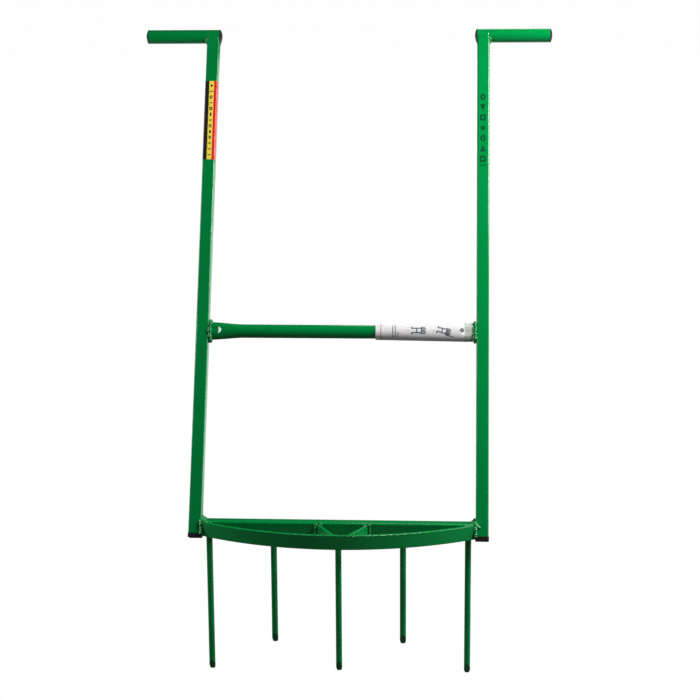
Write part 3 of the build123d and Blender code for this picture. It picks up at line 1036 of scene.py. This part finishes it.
@dataclass
class LabelSleeve:
    """A film sleeve on the crossbar: loose at its inner end, stretched over the squeezed end."""

    plan: ForkPlan
    start: float = 66.5 * MM
    white_end: float = 241.0 * MM
    end: float = 257.5 * MM
    start_radius: float = 14.9 * MM
    end_tall: float = 18.9 * MM
    end_deep: float = 14.1 * MM
    press_start: float = 228.0 * MM
    press_end: float = 246.0 * MM
    flat_deep: float = 12.0 * MM
    sag: float = 0.9 * MM
    film: float = 0.35 * MM
    steps_around: int = 96
    white_rows: int = 110
    clear_rows: int = 34
    seal_rows: int = 3
    overlap: float = 1.0 * MM
    tuck: float = 0.02 * MM
    tight_from: float = 222.0 * MM
    tight_run: float = 30.0 * MM
    loose_until: float = 84.0 * MM
    loose_run: float = 16.0 * MM
    smooth_height: float = 0.0225 * MM
    tight_height: float = 0.225 * MM
    loose_height: float = 0.054 * MM
    seal_start: float = 76.4 * MM
    seal_end: float = 77.5 * MM
    seal_film: float = 0.1 * MM
    print_lift: float = 0.06 * MM
    ink: float = 0.05 * MM
    symbol_stroke: float = 2.0 * MM
    seed: int = 5
    row_pitch: float = 3.9 * MM
    tick_stroke: float = 1.7 * MM

    def ripple(self, along: float, angle: float) -> float:
        """Gives how far the film stands out of its smooth shape.

        Args:
            along: Distance from the middle of the crossbar.
            angle: Angle from the front, upwards.

        Returns:
            The extra radius.
        """
        tight = min(max((along - self.tight_from) / self.tight_run, 0.0), 1.0)
        loose = min(max((self.loose_until - along) / self.loose_run, 0.0), 1.0)
        height = self.smooth_height + self.tight_height * tight * tight + self.loose_height * loose
        waves = [share * math.sin(folds * angle + drift * along / MM + start)
                 for folds, drift, start, share in RIPPLES]
        waves[-1] *= tight
        return height * sum(waves)

    def tall_at(self, along: float) -> float:
        """Half the sleeve's height at a place along the crossbar."""
        share = (along - self.start) / (self.end - self.start)
        return self.start_radius + (self.end_tall - self.start_radius) * share

    def on_sleeve(self, along: float, angle: float, lift: float) -> Vector:
        """Gives a point on the sleeve.

        Args:
            along: Distance from the middle of the crossbar.
            angle: Angle from the front, upwards.
            lift: Height over the film's outside.

        Returns:
            The point in the fork's frame.
        """
        share = (along - self.start) / (self.end - self.start)
        extra = lift + self.ripple(along, angle)
        tall = self.tall_at(along) + extra
        deep = self.start_radius + (self.end_deep - self.start_radius) * share
        press = min(max((along - self.press_start) / (self.press_end - self.press_start), 0.0), 1.0)
        flat = deep - press * press * (3 - 2 * press) * (deep - self.flat_deep)
        forwards = max(-flat, min(flat, deep * math.cos(angle))) + extra * math.cos(angle)
        centre = self.plan.crossbar + Vector((along, 0, 0)) - self.plan.up * (self.sag * (1 - share))
        return centre + self.plan.up * (tall * math.sin(angle)) + self.plan.front * forwards

    def tube(self, name: str, start: float, end: float, steps: int, lift: float, film: float) -> Piece:
        """Wraps a grid into a stretch of the sleeve.

        Args:
            name: The piece's name.
            start: Where it starts along the crossbar.
            end: Where it ends.
            steps: How many rows it has along the crossbar.
            lift: Height of its outside over the sleeve's.
            film: Its thickness.

        Returns:
            The tube.
        """
        bpy.ops.object.select_all(action="DESELECT")
        bpy.ops.mesh.primitive_grid_add(x_subdivisions=steps, y_subdivisions=self.steps_around, size=1.0)
        tube = added()
        tube.name = name
        tube.data.name = name
        for vertex in tube.data.vertices:
            along = start + (vertex.co.x + 0.5) * (end - start)
            vertex.co = self.on_sleeve(along, 2 * math.pi * (vertex.co.y + 0.5), lift)
        tidy_normals(tube)
        apply_modifier(tube, "SOLIDIFY", thickness=film, offset=-1.0)
        select_only(tube)
        bpy.ops.object.shade_smooth_by_angle(angle=math.radians(40))
        return tube

    def wrap_on(self, shapes: list[Piece], name: str, finish: Finish) -> None:
        """Wraps flat shapes onto the front of the sleeve.

        Args:
            shapes: Flat shapes, X along the crossbar and Y upwards round it.
            name: The piece's name.
            finish: The ink.
        """
        film = film_from(shapes, name, self.ink, cuts=3)
        for vertex in film.data.vertices:
            x, y, z = vertex.co
            vertex.co = self.on_sleeve(x, y / self.tall_at(x), self.print_lift + z)
        tidy_normals(film)
        hand_over(film, finish, "label_film")

    def fork_symbol(self, x: float, y: float, size: float, turn: float) -> list[Piece]:
        """Draws a plain wide fork lying on its side.

        Args:
            x: The symbol's middle along the crossbar, in millimetres.
            y: Its middle upwards, in millimetres.
            size: Its scale, where 1 is about 30 mm long.
            turn: Its turn in degrees.

        Returns:
            The strokes.
        """
        angle = math.radians(turn)
        strokes = []
        for line in FORK_STROKES:
            ends = []
            for along, up in line:
                ends.append(((x + size * (along * math.cos(angle) - up * math.sin(angle))) * MM,
                             (y + size * (along * math.sin(angle) + up * math.cos(angle))) * MM))
            strokes.append(flat_stroke(ends[0], ends[1], self.symbol_stroke))
        return strokes

    def build(self) -> None:
        """Makes the white sleeve, its clear shrunk end and the plain print."""
        white = self.tube("label_sleeve_film", self.start, self.white_end, self.white_rows, 0.0, self.film)
        hand_over(white, LABEL_FILM, "label_film", "label_sleeve")
        clear = self.tube("label_clear_end", self.white_end - self.overlap, self.end, self.clear_rows,
                          -self.tuck, self.film)
        hand_over(clear, CLEAR_FILM, "label_film")
        seal = self.tube("label_seal_line", self.seal_start, self.seal_end, self.seal_rows, self.print_lift,
                         self.seal_film)
        hand_over(seal, RED_INK, "label_film")
        symbols = self.fork_symbol(150.5, 1.0, 1.0, 0.0) + self.fork_symbol(200.0, 0.5, 0.95, -14.0)
        symbols.append(flat_stroke((205 * MM, -8.5 * MM), (220 * MM, -12.5 * MM), 1.3 * MM))
        symbols.append(flat_outline(Shape.RING, (236 * MM, 1.5 * MM), 7.6 * MM, 8.2 * MM, 2.8 * MM))
        self.wrap_on(symbols, "label_symbols", SLATE_INK)
        dice = random.Random(self.seed)
        ticks = []
        for column, rows in ((100.5, 7), (105.5, 7), (110.5, 3)):
            for row in range(rows):
                y, reach = (row - 3) * self.row_pitch, dice.uniform(0.8, 1.5) * MM
                ends = ((column * MM, y - reach), (column * MM, y + reach))
                ticks.append(flat_stroke(*ends, self.tick_stroke))
        for dash in (129.5, 180.5, 229.5):
            ticks.append(flat_stroke((dash * MM, 1.2 * MM), ((dash + 1.6) * MM, 1.2 * MM), 1.2 * MM))
        self.wrap_on(ticks, "label_ticks", GREY_INK)


# ---- carried-over pieces

@dataclass
class FrameFinishes:
    """Gives the frame's own tubes, bars, tines and plugs their finishes."""

    moulded: tuple[str, ...] = ("plug",)

    def build(self) -> None:
        """Dresses each frame node by its name."""
        for name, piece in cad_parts.items():
            if any(word in name for word in self.moulded):
                PLASTIC.dress(piece)
            elif "weld" in name:
                WELD_COAT.dress(piece)
            elif name == "label_sleeve":
                LABEL_FILM.dress(piece)
            elif name == "arm_marks":
                MARK_VINYL.dress(piece)
            elif name != "arm_decal":
                COAT.dress(piece)
            LOG.info("%s dressed", name)


# ---- studio

@dataclass
class Softbox:
    """A flat studio light, with its power in watts."""

    name: str
    place: tuple[float, float, float]
    aim: tuple[float, float, float]
    width: float
    height: float
    power: float

    def build(self) -> None:
        """Sets the light up."""
        light = bpy.data.lights.new(self.name, "AREA")
        light.shape = "RECTANGLE"
        light.size, light.size_y, light.energy = self.width, self.height, self.power
        stand = bpy.data.objects.new(self.name, light)
        bpy.context.collection.objects.link(stand)
        stand.visible_camera = False
        heading = Vector(self.aim) - Vector(self.place)
        turn = heading.to_track_quat("-Z", "Y").to_matrix().to_4x4()
        stand.matrix_world = Matrix.Translation(self.place) @ turn


@dataclass
class Studio:
    """Floor, surroundings, lights and camera."""

    floor_gap: float = 1.0 * MM
    floor_size: float = 60.0
    surround: float = 0.02
    camera_place: tuple[float, float, float] = (0.2162, -3.1166, 1.0020)
    pitch: float = 12.020
    yaw: float = 3.510
    roll: float = 0.343
    lens: float = 87.25
    lights: tuple[Softbox, ...] = (
        Softbox("key_softbox", (1.13, -0.32, 1.5), (0.2, 0.2, 0.5), 0.6, 0.6, 37.0),
        Softbox("right_strip", (1.9, 0.15, 0.6), (0.2, 0.1, 0.3), 1.2, 2.2, 32.0),
        Softbox("left_softbox", (-2.0, 0.1, 0.6), (-0.2, 0.1, 0.3), 0.9, 1.8, 34.0),
        Softbox("small_reflector", (-1.747, -1.901, 1.957), (-0.239, 0.131, 0.345), 0.2, 0.2, 4.0),
        Softbox("rear_softbox", (0.6, 3.2, 2.6), (0.0, 0.1, 0.4), 1.8, 1.2, 26.0),
    )

    def floor(self) -> None:
        """Lays the pale floor just under the tines' tips."""
        low, _ = CAD_BOX
        bpy.ops.object.select_all(action="DESELECT")
        bpy.ops.mesh.primitive_grid_add(x_subdivisions=4, y_subdivisions=4, size=self.floor_size,
                                        location=(0.0, 0.0, low[2] - self.floor_gap))
        floor = added()
        floor.name = "studio_floor"
        PaleFloor().dress(floor)

    def surroundings(self) -> None:
        """Makes the surroundings white to look at and dim grey in the reflections."""
        world = bpy.data.worlds.new("studio")
        world.use_nodes = True
        tree = world.node_tree
        tree.nodes.clear()
        ray = add_node(tree, "ShaderNodeLightPath")
        seen = add_node(tree, "ShaderNodeBackground", {"Color": linear("#FEFEFE"), "Strength": 1.0})
        dim = add_node(tree, "ShaderNodeBackground", {"Color": linear("#FFFFFF"), "Strength": self.surround})
        both = add_node(tree, "ShaderNodeMixShader", links={
            0: ray.outputs["Is Camera Ray"], 1: dim.outputs["Background"], 2: seen.outputs["Background"]})
        add_node(tree, "ShaderNodeOutputWorld", links={"Surface": both.outputs["Shader"]})
        bpy.context.scene.world = world

    def camera(self) -> None:
        """Sets up the camera, with everything sharp."""
        data = bpy.data.cameras.new("camera")
        data.lens, data.sensor_width, data.sensor_height = self.lens, 36.0, 36.0
        data.dof.use_dof = False
        stand = bpy.data.objects.new("camera", data)
        bpy.context.collection.objects.link(stand)
        turn = Matrix.Rotation(math.radians(self.yaw), 4, "Z")
        turn @= Matrix.Rotation(math.radians(90 - self.pitch), 4, "X")
        turn @= Matrix.Rotation(math.radians(-self.roll), 4, "Z")
        stand.matrix_world = Matrix.Translation(self.camera_place) @ turn
        bpy.context.scene.camera = stand

    def build(self) -> None:
        """Sets up the studio."""
        self.floor()
        self.surroundings()
        for light in self.lights:
            light.build()
        self.camera()
        bpy.context.scene.view_settings.view_transform = "Standard"
        bpy.context.scene.view_settings.look = "None"


def main() -> None:
    """Builds the fork's looks and the studio."""
    logging.basicConfig(level=logging.INFO, format="%(name)s: %(message)s")
    plan = ForkPlan.read()
    FrameFinishes().build()
    WeldWork(plan).build()
    LabelSleeve(plan).build()
    ArmPrints(plan).build()
    Studio().build()


if __name__ == "__main__":
    main()
